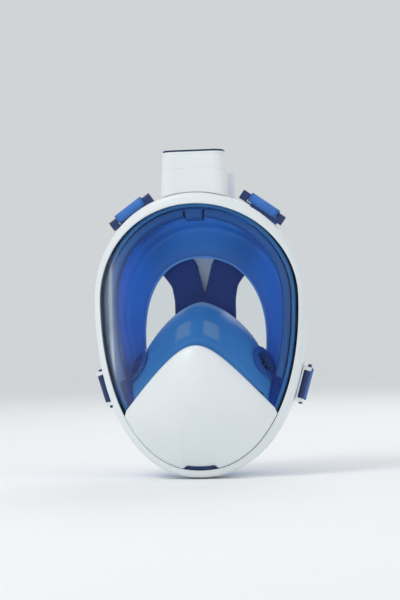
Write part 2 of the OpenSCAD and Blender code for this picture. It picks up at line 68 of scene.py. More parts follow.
# ---------- the frame's curves, worked out from the CAD boxes ----------

FRAME_LOW, FRAME_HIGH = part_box("front_frame")
HALF_W = FRAME_HIGH.x
Z_WIDE = 30 * MM            # level where the frame is widest
CROWN_H = FRAME_HIGH.z - Z_WIDE
CHIN_H = Z_WIDE - FRAME_LOW.z
CHIN_POWER = 2.2            # fullness of the lower outline
WRAP_R = 120 * MM           # the lens wraps round the face
RISE_R = 500 * MM           # and curves up and down
LENS_Y = -66 * MM           # front of the lens at its centre
FRAME_D = 22 * MM
WALL = 2.6 * MM
LIP_W = 8.4 * MM
LENS_T = 2.6 * MM
SKIRT_T = 1.8 * MM
GAP = 0.2 * MM
AROUND = 240                # steps round the whole outline
ARCH_TOP = -5 * MM          # tip of the chin cover
ARCH_R = 20 * MM
ARCH_X = 56.5 * MM
ARCH_SLOPE = 1.21


def power(value, exponent):
    return math.copysign(abs(value) ** exponent, value)


def cosd(a):
    return math.cos(math.radians(a))


def sind(a):
    return math.sin(math.radians(a))


def mix(a, b, s):
    return a + (b - a) * s


def smooth(s):
    s = min(1, max(0, s))
    return s * s * (3 - 2 * s)


def outline(t, inset):
    """Point (x, z) of the frame's outline at angle t, moved inwards."""
    low = sind(t) < 0
    e = 2 / CHIN_POWER if low else 1
    h = (CHIN_H if low else CROWN_H) - inset
    return Vector(((HALF_W - inset) * power(cosd(t), e), Z_WIDE + h * power(sind(t), e)))


def dish(p):
    """How far the lens surface lies behind its front point."""
    return WRAP_R - math.sqrt(WRAP_R ** 2 - p[0] ** 2) + (p[1] - Z_WIDE) ** 2 / (2 * RISE_R)


def over(p, v):
    """The point over (x, z) that lies v behind the lens surface."""
    return Vector((p[0], LENS_Y + dish(p) + v, p[1]))


def rim(t, u, v):
    return over(outline(t, u), v)


def lip(t):
    return LIP_W * (1 - 0.35 * cosd(t) ** 2 - 0.33 * max(0, -sind(t)) ** 3)


def arch(x, drop=0.0):
    return ARCH_TOP - drop - ARCH_SLOPE * (math.hypot(x, ARCH_R) - ARCH_R)


def seal_y(x):
    return -10 * MM + 16 * MM * (x / (60 * MM)) ** 2


def turns(steps, start=0, end=360):
    """Angles from start towards end, leaving end out."""
    return [start + (end - start) * i / steps for i in range(steps)]


def spread(start, end, steps):
    """Values from start to end, both included."""
    return [start + (end - start) * i / steps for i in range(steps + 1)]


# ---------- meshes ----------

def link(name, mesh, material, body="mask", slot=None):
    obj = bpy.data.objects.new(name, mesh)
    bpy.context.scene.collection.objects.link(obj)
    for polygon in mesh.polygons:
        polygon.use_smooth = True
    mesh.materials.clear()
    mesh.materials.append(material)
    if body:
        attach(obj, body)
    return obj


def mesh_of(name, points, faces):
    mesh = bpy.data.meshes.new(name)
    mesh.from_pydata([tuple(p) for p in points], [], faces)
    bm = bmesh.new()
    bm.from_mesh(mesh)
    bmesh.ops.recalc_face_normals(bm, faces=bm.faces)
    bm.to_mesh(mesh)
    bm.free()
    return mesh


def grid_faces(rows, cols, wrap_rows, wrap_cols):
    last_row = rows if wrap_rows else rows - 1
    last_col = cols if wrap_cols else cols - 1

    def at(i, j):
        return i % rows * cols + j % cols

    return [
        (at(i, j), at(i + 1, j), at(i + 1, j + 1), at(i, j + 1))
        for i in range(last_row)
        for j in range(last_col)
    ]


def grid_mesh(name, grid, wrap_rows=False, wrap_cols=False):
    """One sheet of quads over a grid of points."""
    points = [p for row in grid for p in row]
    return mesh_of(name, points, grid_faces(len(grid), len(grid[0]), wrap_rows, wrap_cols))


def slab_mesh(name, outer, inner, wrap=False):
    """A closed solid between two grids of the same size; wrap joins the last row to the first."""
    rows = [list(a) + list(reversed(b)) for a, b in zip(outer, inner)]
    mesh_faces = grid_faces(len(rows), len(rows[0]), wrap, True)
    if not wrap:
        count = len(rows[0])
        for first in (0, (len(rows) - 1) * count):
            last = first + count - 1
            mesh_faces += [(first + j, first + j + 1, last - 1 - j, last - j)
                           for j in range(count // 2 - 1)]
    return mesh_of(name, [p for row in rows for p in row], mesh_faces)


def catmull(points, steps, closed=False):
    """A smooth curve through the points."""
    n = len(points)
    get = (lambda i: points[i % n]) if closed else (lambda i: points[min(n - 1, max(0, i))])
    curve = []
    for i in range(n if closed else n - 1):
        a, b, c, d = get(i - 1), get(i), get(i + 1), get(i + 2)
        for k in range(steps):
            s = k / steps
            curve.append(0.5 * (2 * b + (c - a) * s + (2 * a - 5 * b + 4 * c - d) * s ** 2
                                + (3 * b - a - 3 * c + d) * s ** 3))
    if not closed:
        curve.append(points[-1].copy())
    return curve


def rounded_corners(corners, steps=5, closed=True):
    """A polyline whose corners are ((x, y), radius), with each corner turned into a curve."""
    n = len(corners)
    curve = []
    for i, (corner, radius) in enumerate(corners):
        b = Vector(corner)
        if not closed and i in (0, n - 1):
            curve.append(b)
            continue
        a = Vector(corners[i - 1][0])
        c = Vector(corners[(i + 1) % n][0])
        start = b + (a - b).normalized() * min(radius, 0.49 * (a - b).length)
        end = b + (c - b).normalized() * min(radius, 0.49 * (c - b).length)
        for k in range(steps + 1):
            s = k / steps
            curve.append((1 - s) ** 2 * start + 2 * s * (1 - s) * b + s * s * end)
    return curve


def modifier(obj, kind, **settings):
    made = obj.modifiers.new(kind.title(), kind)
    for key, value in settings.items():
        setattr(made, key, value)


def even_shading(obj):
    """Turns the shading towards the large faces, so that narrow edge faces don't show."""
    modifier(obj, "WEIGHTED_NORMAL", keep_sharp=False, weight=60)


def soften(obj, width, segments=3, angle=40):
    """Rounds the edges sharper than angle, and evens the shading."""
    modifier(obj, "BEVEL", width=width, segments=segments, limit_method="ANGLE",
             angle_limit=math.radians(angle), use_clamp_overlap=True, miter_outer="MITER_ARC")
    even_shading(obj)
    return obj


def thicken(obj, thickness, edge=0.0):
    """Gives a sheet an even thickness about its middle, with rounded rims."""
    modifier(obj, "SOLIDIFY", thickness=thickness, offset=0, use_even_offset=True,
             use_quality_normals=True)
    if edge:
        soften(obj, edge)
    return obj


def cut(obj, lows_highs=(), cylinders=()):
    """Cuts boxes and cylinders out of a piece.

    A box is given by two corners, a cylinder by its centre, direction, radius and length."""
    bm = bmesh.new()
    for low, high in lows_highs:
        low, high = Vector(low), Vector(high)
        matrix = Matrix.Translation((low + high) / 2) @ Matrix.Diagonal((*(high - low), 1))
        bmesh.ops.create_cube(bm, size=1, matrix=matrix)
    for centre, direction, radius, length in cylinders:
        turn = Vector(direction).to_track_quat("Z", "Y").to_matrix().to_4x4()
        bmesh.ops.create_cone(bm, cap_ends=True, segments=64, radius1=radius, radius2=radius,
                              depth=length, matrix=Matrix.Translation(centre) @ turn)
    mesh = bpy.data.meshes.new("cutter")
    bm.to_mesh(mesh)
    bm.free()
    tool = bpy.data.objects.new("cutter", mesh)
    bpy.context.scene.collection.objects.link(tool)
    modifier(obj, "BOOLEAN", operation="DIFFERENCE", solver="EXACT", object=tool)
    apply_modifiers(obj)
    bpy.data.objects.remove(tool)


def apply_modifiers(obj):
    bpy.context.view_layer.update()
    depsgraph = bpy.context.evaluated_depsgraph_get()
    mesh = bpy.data.meshes.new_from_object(obj.evaluated_get(depsgraph), depsgraph=depsgraph)
    obj.modifiers.clear()
    obj.data = mesh


def rounded(node, radius, material, body, slot, segments=2, angle=35, ribbed=False):
    """A copy of a CAD node with its flat faces joined up and its edges rounded.

    A flat face with ribs standing on it is split into triangles, as it can't be one face with holes."""
    mesh = NODES[node].data.copy()
    bm = bmesh.new()
    bm.from_mesh(mesh)
    bmesh.ops.remove_doubles(bm, verts=bm.verts, dist=0.002 * MM)
    bmesh.ops.dissolve_limit(bm, angle_limit=math.radians(1.5), verts=bm.verts, edges=bm.edges)
    if ribbed:
        bmesh.ops.triangulate(bm, faces=[f for f in bm.faces if len(f.verts) > 4])
    bmesh.ops.recalc_face_normals(bm, faces=bm.faces)
    bm.to_mesh(mesh)
    bm.free()
    obj = link(node + "_part", mesh, material, body, slot)
    soften(obj, radius, segments, angle)
    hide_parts(node)
    return obj


# ---------- materials ----------

class Shader:
    """A node tree with short names for the nodes that the materials share."""

    def __init__(self, name):
        self.material = bpy.data.materials.new(name)
        self.material.use_nodes = True
        self.tree = self.material.node_tree
        self.principled = self.tree.nodes["Principled BSDF"]
        self.output = self.tree.nodes["Material Output"]
        self.place = self.tree.nodes.new("ShaderNodeTexCoord").outputs["Object"]

    def add(self, kind, inputs=(), **settings):
        node = self.tree.nodes.new(kind)
        for key, value in settings.items():
            setattr(node, key, value)
        for key, value in dict(inputs).items():
            if isinstance(value, bpy.types.NodeSocket):
                self.tree.links.new(value, node.inputs[key])
            else:
                node.inputs[key].default_value = value
        return node

    def set(self, **values):
        for key, value in values.items():
            name = key.replace("_", " ").title().replace("Ior", "IOR")
            socket = self.principled.inputs[name]
            if isinstance(value, bpy.types.NodeSocket):
                self.tree.links.new(value, socket)
            else:
                socket.default_value = value

    def noise(self, scale, detail=3.0, roughness=0.5):
        inputs = {"Vector": self.place, "Scale": scale, "Detail": detail, "Roughness": roughness}
        return self.add("ShaderNodeTexNoise", inputs).outputs["Fac"]

    def ramp(self, value, low, high, start=0.3, end=0.7):
        """Turns a value that runs from start to end into one that runs from low to high."""
        inputs = {"Value": value, "From Min": start, "From Max": end, "To Min": low, "To Max": high}
        return self.add("ShaderNodeMapRange", inputs).outputs[0]

    def blend(self, factor, a, b):
        node = self.add("ShaderNodeMix", data_type="RGBA")
        self.tree.links.new(factor, node.inputs["Factor"])
        for key, value in (("A", a), ("B", b)):
            socket = [s for s in node.inputs if s.name == key and s.type == "RGBA"][0]
            if isinstance(value, bpy.types.NodeSocket):
                self.tree.links.new(value, socket)
            else:
                socket.default_value = (*value, 1)
        return [s for s in node.outputs if s.type == "RGBA"][0]

    def math(self, operation, a, b=0.0):
        node = self.add("ShaderNodeMath", operation=operation)
        for socket, value in zip(node.inputs, (a, b)):
            if isinstance(value, bpy.types.NodeSocket):
                self.tree.links.new(value, socket)
            else:
                socket.default_value = value
        return node.outputs[0]

    def bump(self, height, distance, strength=1.0, normal=None):
        inputs = {"Height": height, "Distance": distance, "Strength": strength}
        if normal:
            inputs["Normal"] = normal
        made = self.add("ShaderNodeBump", inputs).outputs["Normal"]
        self.tree.links.new(made, self.principled.inputs["Normal"])
        return made

    def mix_surfaces(self, factor, first, second):
        """Makes the surface of two shader nodes; factor is the second one's share."""
        mixed = self.add("ShaderNodeMixShader", {"Fac": factor})
        self.tree.links.new(first.outputs[0], mixed.inputs[1])
        self.tree.links.new(second.outputs[0], mixed.inputs[2])
        self.tree.links.new(mixed.outputs[0], self.output.inputs["Surface"])


def plastic(name, colour, shade, roughness=0.34, coat=0.15, grain=0.02):
    """Moulded plastic: cloudy colour, a fine grain and a soft gloss that scuffs in patches."""
    s = Shader(name)
    cloud = s.ramp(s.noise(14, 4), 0, 1)
    s.set(base_color=s.blend(cloud, colour, shade),
          roughness=s.ramp(s.noise(45, 6, 0.6), roughness - 0.05, roughness + 0.09),
          coat_weight=coat, coat_roughness=0.25, ior=1.49)
    fine = s.bump(s.noise(2600, 2), 0.03 * MM, 0.25)
    s.bump(s.noise(110, 2), grain * MM * 4, 0.35, fine)
    return s.material


def silicone(name, colour, shade, glow=0.3, roughness=0.38, pale=None):
    """Soft rubber that lets some light through; where the mesh is marked, its colour is painted paler, as
    painted light.
    """
    s = Shader(name)
    cloud = s.ramp(s.noise(18, 3), 0, 1)
    tint = s.blend(cloud, colour, shade)
    if pale:
        # Painted light: the marked points are blended towards the paler tint.
        thin = s.add("ShaderNodeAttribute", attribute_name="thin").outputs["Fac"]
        tint = s.blend(thin, tint, pale)
    s.set(base_color=tint,
          roughness=s.ramp(s.noise(60, 5, 0.6), roughness - 0.06, roughness + 0.1), ior=1.42,
          sheen_weight=0.06, sheen_roughness=0.4, coat_weight=0.08, coat_roughness=0.3,
          specular_ior_level=0.35)
    normal = s.bump(s.noise(1500, 3), 0.03 * MM, 0.4)
    through = s.add("ShaderNodeBsdfTranslucent", {"Color": tint, "Normal": normal})
    s.mix_surfaces(glow, s.principled, through)
    return s.material


def webbing_material(name, colour, shade, width, pitch=1.3 * MM):
    """Woven elastic: ribs across the strap, a fine warp, and a tighter edge on both sides."""
    s = Shader(name)
    uv = s.tree.nodes["Texture Coordinate"].outputs["UV"]
    split = s.add("ShaderNodeSeparateXYZ", {"Vector": uv})
    ribs = s.math("SINE", s.math("MULTIPLY", split.outputs["X"], 2 * math.pi / pitch))
    warp = s.math("SINE", s.math("MULTIPLY", split.outputs["Y"], 2 * math.pi / (0.8 * pitch)))
    aside = s.math("ABSOLUTE", split.outputs["Y"])
    edge = s.ramp(aside, 0, 1, width / 2 - 2.3 * MM, width / 2 - 1.9 * MM)
    weave = s.math("MULTIPLY", ribs, warp)
    height = s.math("ADD", s.math("MULTIPLY", weave, 0.5), s.math("MULTIPLY", ribs, 0.45))
    patchy = s.ramp(s.noise(90, 4), 0.0, 0.35)
    # Painted shade: the colour darkens with the weave's height, in the hollows between threads; the
    # patches are random tone.
    thread = s.math("ADD", s.ramp(height, 0.05, 0.6, -0.8, 0.8), patchy)
    s.set(base_color=s.blend(s.math("SUBTRACT", thread, s.math("MULTIPLY", edge, 0.45)), shade, colour),
          roughness=0.78, sheen_weight=0.4, sheen_roughness=0.45)
    s.bump(s.math("SUBTRACT", height, edge), 0.16 * MM, 0.8)
    return s.material


def knit_material(name, colour, shade):
    """Knitted cover of the head pad."""
    s = Shader(name)
    cell = s.add("ShaderNodeTexVoronoi", {"Vector": s.place, "Scale": 1500.0}).outputs["Distance"]
    patchy = s.ramp(s.noise(40, 4), 0, 1)
    s.set(base_color=s.blend(patchy, shade, colour), roughness=0.82,
          sheen_weight=0.12, sheen_roughness=0.5)
    soft = s.bump(cell, 0.12 * MM, 0.7)
    s.bump(s.noise(220, 3), 0.25 * MM, 0.35, soft)
    return s.material


def clear_material(name):
    """Clear polycarbonate: a tinted see-through body with a mirror-like skin."""
    s = Shader(name)
    s.tree.nodes.remove(s.principled)
    haze = s.ramp(s.noise(25, 5, 0.6), 0.02, 0.07)
    inside = s.add("ShaderNodeBsdfTransparent", {"Color": (0.955, 0.98, 0.99, 1)})
    skin = s.add("ShaderNodeBsdfAnisotropic", {"Color": (1, 1, 1, 1), "Roughness": haze})
    share = s.add("ShaderNodeFresnel", {"IOR": 1.45}).outputs[0]
    s.mix_surfaces(s.math("MULTIPLY", s.math("SUBTRACT", share, 0.024), 0.7), inside, skin)
    return s.material


def steel_material(name):
    s = Shader(name)
    wave = s.add("ShaderNodeTexWave", {"Vector": s.place, "Scale": 700.0, "Distortion": 2.0})
    streak = wave.outputs["Fac"]
    s.set(base_color=(0.6, 0.61, 0.63, 1), metallic=1.0, roughness=s.ramp(streak, 0.22, 0.38))
    s.bump(streak, 0.01 * MM, 0.4)
    return s.material


WHITE = plastic("white_plastic", (0.83, 0.87, 0.885), (0.77, 0.815, 0.835))
WHITE_SOFT = plastic("white_inner_plastic", (0.74, 0.79, 0.815), (0.68, 0.74, 0.77), 0.45, 0.0, 0.04)
BLUE_SKIRT = silicone("blue_silicone", (0.100, 0.46, 0.95), (0.075, 0.39, 0.88), 0.42, 0.36,
                      (0.26, 0.56, 0.96))
BLUE_CUP = silicone("blue_cup_silicone", (0.095, 0.45, 0.96), (0.070, 0.39, 0.90), 0.33, 0.3,
                    (0.36, 0.62, 0.95))
NAVY_RUBBER = silicone("navy_rubber", (0.008, 0.028, 0.11), (0.006, 0.02, 0.08), 0.05, 0.42)
# Painted shade: the ducts take a darker copy of the skirt's blue, standing in for the shade in the
# channels under the frame's lip.
SHADED_DUCT_BLUE = silicone("shade_painted_blue_silicone", (0.030, 0.17, 0.56), (0.022, 0.14, 0.48), 0.2, 0.38)
NAVY_PLASTIC = plastic("navy_plastic", (0.010, 0.035, 0.15), (0.007, 0.026, 0.12), 0.4, 0.1, 0.04)
BLUE_PLASTIC = plastic("blue_plastic", (0.02, 0.13, 0.50), (0.015, 0.105, 0.44), 0.36)
ORANGE = plastic("orange_float_plastic", (0.72, 0.13, 0.02), (0.62, 0.1, 0.015), 0.45)
CLEAR = clear_material("clear_polycarbonate")
STEEL = steel_material("turned_steel")
WEBBING = webbing_material("blue_webbing", (0.055, 0.23, 0.68), (0.022, 0.115, 0.42), 25 * MM)
THREAD = knit_material("thread", (0.16, 0.32, 0.70), (0.10, 0.22, 0.58))
PAD_KNIT = knit_material("navy_knit", (0.007, 0.046, 0.25), (0.004, 0.031, 0.19))

# ---------- frame and lens ----------

PORT_Y = -52.5 * MM
PORT_D = 11 * MM
PORT_XS = ((-17, -10), (-7.5, 7.5), (10, 17))  # in mm, the used-air ports at both sides


def crown_ports():
    """The three windows through the crown, as boxes."""
    return [((x0 * MM, PORT_Y, 92 * MM), (x1 * MM, PORT_Y + PORT_D, 117 * MM)) for x0, x1 in PORT_XS]


def ring(name, node, section, material, slot, steps=AROUND, ports=False):
    """A closed section swept round the whole outline."""
    grid = [[rim(t, *p) for p in section(t)] for t in turns(steps)]
    obj = link(name, grid_mesh(name, grid, True, True), material, "mask", slot)
    if ports:
        cut(obj, crown_ports())
        even_shading(obj)
    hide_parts(node)
    return obj


def front_frame():
    def section(t):
        width = lip(t)
        return rounded_corners([
            ((0, FRAME_D), 0.5 * MM), ((0, -2.6 * MM), 3.4 * MM), ((width, -2.6 * MM), 2.0 * MM),
            ((width, -GAP), 0.4 * MM), ((WALL, -GAP), 0.3 * MM), ((WALL, FRAME_D), 0.5 * MM)])
    return ring("front_frame_shell", "front_frame", section, WHITE, "shell_white", ports=True)


def rear_frame():
    back = FRAME_D + 2.4 * MM

    def section(_):
        return rounded_corners([
            ((WALL + 0.3 * MM, FRAME_D + GAP), 0.2 * MM), ((WALL + 0.3 * MM, 6 * MM), 0.4 * MM),
            ((8.2 * MM, 6 * MM), 0.8 * MM), ((8.6 * MM, 7.4 * MM), 0.6 * MM),
            ((8.6 * MM, back), 0.9 * MM), ((0, back), 1.6 * MM), ((0, FRAME_D + GAP), 0.4 * MM)], 4)
    return ring("rear_frame_shell", "rear_frame", section, WHITE, "shell_white", ports=True)


def lens_seal():
    front = LENS_T + GAP
    back = front + 0.5 * MM

    def section(_):
        return rounded_corners([((3.2 * MM, front), 0.1 * MM), ((7.8 * MM, front), 0.2 * MM),
                                ((7.8 * MM, back), 0.2 * MM), ((3.2 * MM, back), 0.1 * MM)], 2)
    return ring("lens_seal_ring", "lens_seal", section, NAVY_RUBBER, "seal_navy", 180)


def two_sheets(point, cols, rows, depths):
    """Two grids of point(i, j, v), one at each depth v."""
    return [[[point(i, j, v) for j in range(rows + 1)] for i in range(cols + 1)] for v in depths]


def lens():
    cols, rows = 120, 30
    lens_turn = -42

    def point(i, j, v):
        k = i / cols
        x = ARCH_X * (1 - 2 * k)
        top = outline(mix(lens_turn, 180 - lens_turn, k), WALL + 0.6 * MM)
        return over(top.lerp(Vector((x, arch(x, 2.2 * MM))), j / rows), v)

    mesh = slab_mesh("lens_clear_shell", *two_sheets(point, cols, rows, (LENS_T, 0)))
    obj = link("lens_clear_shell", mesh, CLEAR, "mask", "lens_clear")
    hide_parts("lens")
    return obj


# ---------- chin ----------

CHIN_BULGE = 13 * MM


def chin_cover():
    cols, rows = 96, 48
    slit_half, slit_h = 10 * MM, 3 * MM

    def foot(t):
        p = outline(t, lip(t) + 0.35 * MM)
        return p + Vector((0, slit_h * (1 - smooth((abs(p.x) - slit_half) / (4 * MM)))))

    def dome(k, s):
        return CHIN_BULGE * max(0, sind(180 * s)) ** 0.75 * max(0, sind(180 * k)) ** 0.8

    def point(i, j, v):
        k, s = i / cols, j / rows
        x = ARCH_X * (1 - 2 * k)
        return over(Vector((x, arch(x))).lerp(foot(mix(-41, -139, k)), s), v - dome(k, s))

    mesh = slab_mesh("chin_cover_shell", *two_sheets(point, cols, rows, (-2.8 * MM, -0.4 * MM)))
    obj = link("chin_cover_shell", mesh, WHITE, "mask", "shell_white")
    soften(obj, 0.7 * MM, 3, 50)
    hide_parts("chin_cover")
    return obj


# ---------- silicone ----------

OPEN_W = 48 * MM
OPEN_H = 62.5 * MM
# Inset from the outline, height and half-width of the beads moulded on the skirt
SKIRT_BEADS = ((16.5 * MM, 0.9 * MM, 1.6 * MM), (24 * MM, 0.8 * MM, 1.5 * MM))
FLANGE = ((3.7, 4.6), (6.5, 4.6), (9.5, 4.6), (10.1, 6.5), (10.1, 15), (10.1, 24.4))  # inset, depth


def skirt_row(t):
    p = outline(t, 0)
    q = Vector((OPEN_W * power(cosd(t), 0.9), OPEN_H * power(sind(t), 0.9)))
    reach = (q - p).length
    rear = seal_y(mix(p.x, q.x, 0.5))
    flange = [rim(t, u * MM, v * MM) for u, v in FLANGE]
    spots = [(8.6 * MM, 7), (9.4 * MM, 3.4), (13 * MM, 0.8), (0.42 * reach, 0), (0.62 * reach, 1),
             (0.82 * reach, 3.4), (0.94 * reach, 6.4), (reach, 10)]
    soft = []
    for u, ahead in spots:
        c = p.lerp(q, u / reach)
        soft.append(Vector((c.x, rear - ahead * MM, c.y)))
    row = catmull(flange + soft, 8)
    for point in row[len(flange) * 8:]:
        inset = (Vector((point.x, point.z)) - p).length
        for bead_inset, height, spread_by in SKIRT_BEADS:
            point.y -= height * math.exp(-((inset - bead_inset) / spread_by) ** 2)
    return row


def mark_thin(mesh, values):
    """Says how much painted light each point gets, for its material, which paints those points paler."""
    mesh.attributes.new("thin", "FLOAT", "POINT").data.foreach_set("value", values)


def face_skirt():
    grid = [skirt_row(t) for t in turns(AROUND)]
    mesh = grid_mesh("face_skirt_silicone", grid, True)
    cols = len(grid[0])
    # Painted light: the last fifth of each row, the skirt's face edge, is painted paler, as light shining
    # through the silicone.
    mark_thin(mesh, [0.8 * smooth((j / (cols - 1) - 0.8) / 0.2) for _ in grid for j in range(cols)])
    obj = link("face_skirt_silicone", mesh, BLUE_SKIRT, "mask", "skirt_blue")
    thicken(obj, SKIRT_T)
    cut(obj, crown_ports())
    soften(obj, 0.6 * MM, 3, 50)
    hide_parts("face_skirt")
    return obj


CUP_CENTRE = Vector((0, -24 * MM))
CUP_FRONT_W = 50 * MM       # half-widths and heights of the cup's two ends
CUP_FRONT_LOW = 44 * MM
CUP_REAR_W = 44 * MM
CUP_REAR_LOW = 34 * MM
CUP_REAR_HIGH = 44 * MM
CUP_REAR_Z = -16 * MM
CUP_PAD = 1.1 * MM          # height of the pads on the nose cup
CUP_AROUND = 200
VALVE_HOLE_R = 11.15 * MM
CUP_SHARES = (0.04, 0.08, 0.12, 0.16, 0.24, 0.32, 0.36, 0.4, 0.5, 0.6, 0.7, 0.8, 0.93)


def cup_front(t):
    x = CUP_FRONT_W * cosd(t)
    if sind(t) >= 0:
        return Vector((x, arch(x, -3 * MM)))
    return Vector((x, arch(CUP_FRONT_W, -3 * MM) + CUP_FRONT_LOW * sind(t)))


def cup_rear(t):
    low = sind(t) < 0
    e, h = (1, CUP_REAR_LOW) if low else (1.29, CUP_REAR_HIGH)
    return Vector((CUP_REAR_W * power(cosd(t), e), CUP_REAR_Z + h * power(sind(t), e)))


def cup_point(t, s):
    f, r = cup_front(t), cup_rear(t)
    p = f.lerp(r, s)
    out = (p - CUP_CENTRE).normalized() * (5 + 4 * min(0, sind(t))) * MM * sind(180 * s)
    y0 = LENS_Y + dish(f) + LENS_T + 1.4 * MM
    y1 = (-11 - 12 * max(0, sind(t)) ** 2) * MM
    return Vector((p.x + out.x, mix(y0, y1, s), p.y + out.y))


def cup_pad(t, s):
    """Height, from 0 to 1, of the two low pads moulded beside the nose, over the chin cover's tip."""
    along = smooth((0.15 - abs(s - 0.24)) / 0.05)
    return along * max(smooth((7.5 - abs(t - 90 - aside)) / 3) for aside in (-12, 12))


def cup_row(t):
    f, r = cup_point(t, 0), cup_point(t, 1)
    of = (Vector((f.x, f.z)) - CUP_CENTRE).normalized()
    back = (Vector((r.x, r.z)) - CUP_CENTRE).normalized()
    turned_in = (2.4 + 2 * smooth(3 * sind(t))) * MM * of
    row = [over(Vector((f.x, f.z)) - turned_in, LENS_T + 1.4 * MM)]
    for s in CUP_SHARES:
        row.append(cup_point(t, s) + Vector((0, 0, CUP_PAD * cup_pad(t, s))))
    row += [Vector((r.x - 1.5 * MM * back.x, r.y, r.z - 1.5 * MM * back.y)),
            Vector((r.x - 6 * MM * back.x, r.y - 1.5 * MM, r.z - 6 * MM * back.y))]
    return catmull(row, 3)


def valve_place(side):
    """Centre of an inhale valve and the direction into the cup."""
    turn, s = 25, 0.48
    centre = cup_point(turn, s)
    along = cup_point(turn, s + 0.1) - cup_point(turn, s - 0.1)
    across = cup_point(turn + 6, s) - cup_point(turn - 6, s)
    inwards = along.cross(across).normalized()
    if inwards.x > 0:
        inwards = -inwards
    return Vector((side * centre.x, centre.y, centre.z)), Vector((side * inwards.x, inwards.y, inwards.z))


def nose_cup():
    around = turns(CUP_AROUND)
    grid = [cup_row(t) for t in around]
    mesh = grid_mesh("nose_cup_silicone", grid, True)
    shares = [s.x for s in catmull([Vector((s, 0)) for s in (0, *CUP_SHARES, 1, 1)], 3)]
    # Painted light: the cup's back band is painted paler as light through the silicone, and the two pads
    # get painted highlights.
    mark_thin(mesh, [max(smooth((s - 0.72) / 0.1), 0.7 * cup_pad(t, s)) for t in around for s in shares])
    obj = link("nose_cup_silicone", mesh, BLUE_CUP, "mask", "skirt_blue")
    thicken(obj, 1.6 * MM)
    cut(obj, cylinders=[(*valve_place(side), VALVE_HOLE_R, 14 * MM) for side in SIDES.values()])
    soften(obj, 0.5 * MM, 3, 50)
    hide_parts("nose_cup")
    return obj


def channel(name, node, side, start, end, steps, profile, material, slot):
    """An open channel along the inside of the skirt's wall."""
    points = catmull([Vector(p) * MM for p in profile], 4)
    grid = []
    for t in spread(start, end, steps):
        row = [rim(t, p.x, p.y) for p in points]
        grid.append([Vector((side * p.x, p.y, p.z)) for p in row])
    obj = link(name, grid_mesh(name, grid), material, "mask", slot)
    thicken(obj, 1.2 * MM, 0.3 * MM)
    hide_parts(node)
    return obj


def ducts():
    duct = [(12, 5.4), (15.4, 5.6), (17.4, 8), (17.4, 17), (15.4, 19.6), (12, 20)]
    for name, side in SIDES.items():
        node = f"exhale_duct_{name}"
        channel(node + "_channel", node, side, -28, 83, 60, duct, SHADED_DUCT_BLUE, "seal_navy")
    middle = [(12, 5.4), (17, 5.4), (19.4, 7), (20.2, 10), (20.2, 17), (18.6, 20.4), (12, 20.8)]
    channel("intake_channel_part", "intake_channel", 1, 84.5, 95.5, 12, middle, SHADED_DUCT_BLUE,
            "seal_navy")


# ---------- socket ----------

SOCKET_LOW, SOCKET_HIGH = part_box("snorkel_socket")
SOCKET_W = 47 * MM
SOCKET_FOOT = 51 * MM
SOCKET_D = 25 * MM
SOCKET_Y = (SOCKET_LOW.y + SOCKET_HIGH.y) / 2
CORNER_R = 9 * MM
SOCKET_WALL = 2.2 * MM


def pill(w, d, r, n):
    """A round-cornered rectangle, with points along its long sides."""
    cx, cy = w / 2 - r, d / 2 - r
    points = []
    for quarter in range(4):
        sx, sy = ((1, 1), (-1, 1), (-1, -1), (1, -1))[quarter]
        for i in range(n + 1):
            a = 90 * (quarter + i / n)
            points.append(Vector((sx * cx + r * cosd(a), sy * cy + r * sind(a))))
        if quarter % 2 == 0:
            start = points[-1].x
            points += [Vector((start * (1 - 2 * i / n), points[-1].y)) for i in range(1, n)]
    return points


def crown_z(x):
    return Z_WIDE + CROWN_H * math.sqrt(1 - (x / HALF_W) ** 2)


def snorkel_socket():
    top = SOCKET_HIGH.z

    def end(w, wall):
        return pill(w - 2 * wall, SOCKET_D - 2 * wall, CORNER_R - wall, 12)

    outer0, outer1 = end(SOCKET_FOOT, 0), end(SOCKET_W, 0)
    inner0, inner1 = end(SOCKET_FOOT, SOCKET_WALL), end(SOCKET_W, SOCKET_WALL)
    # (share of the height, step outwards in mm), with a fine groove halfway up and one below the rim
    levels = [(0.02, 0), (0.3, 0), (0.56, 0), (0.575, -0.35), (0.595, -0.35), (0.61, 0), (0.8, 0),
              (0.9, 0), (0.905, 0.0), (0.915, -0.3), (0.93, -0.3), (0.94, 0.0), (0.97, 0),
              (0.988, -0.15), (1.0, -0.7)]
    bore = [(1.0, 0.5), (0.985, 0.05), (0.8, 0), (0.4, 0), (0.0, 0)]
    grid = []
    for k in range(len(outer0)):
        def at(p0, p1, s, step):
            p = p0.lerp(p1, s)
            out = Vector((p.x, p.y * 2)).normalized() * step * MM
            low = crown_z(p0.x) + 0.3 * MM
            return Vector((p.x + out.x, SOCKET_Y + p.y + out.y, mix(low, top, s)))
        row = [at(outer0[k], outer1[k], s, step) for s, step in levels]
        row += [at(inner0[k], inner1[k], s, step) for s, step in bore]
        row.append(at(outer0[k], outer1[k], 0.0, 0))
        grid.append(row)
    mesh = grid_mesh("snorkel_socket_shell", grid, True, True)
    obj = link("snorkel_socket_shell", mesh, WHITE, "mask", "shell_white")
    even_shading(obj)
    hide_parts("snorkel_socket")
    return obj


# ---------- straps ----------

UPPER_TURN, UPPER_TILT = 54, 35.5
LOWER_TURN, LOWER_TILT = -27, 106.1
UPPER_W, LOWER_W = 25 * MM, 25 * MM
STRAP_T = 1.4 * MM
HARNESS_Y = 2.9 * MM
CHEEK_Y = 13.8 * MM
CLIP_Z = 4.2 * MM
STITCH_PITCH = 2.4 * MM
STITCH_SIZE = (0.85 * MM, 0.24 * MM, 0.24 * MM)


def strap_frame(side, turn, tilt):
    """Local axes at the frame's edge: x along the edge, z outwards."""
    p = rim(turn, 0, 15 * MM)
    place = Matrix.Translation((side * p.x, p.y, p.z))
    return place @ Matrix.Rotation(math.radians(side * tilt), 4, "Y")


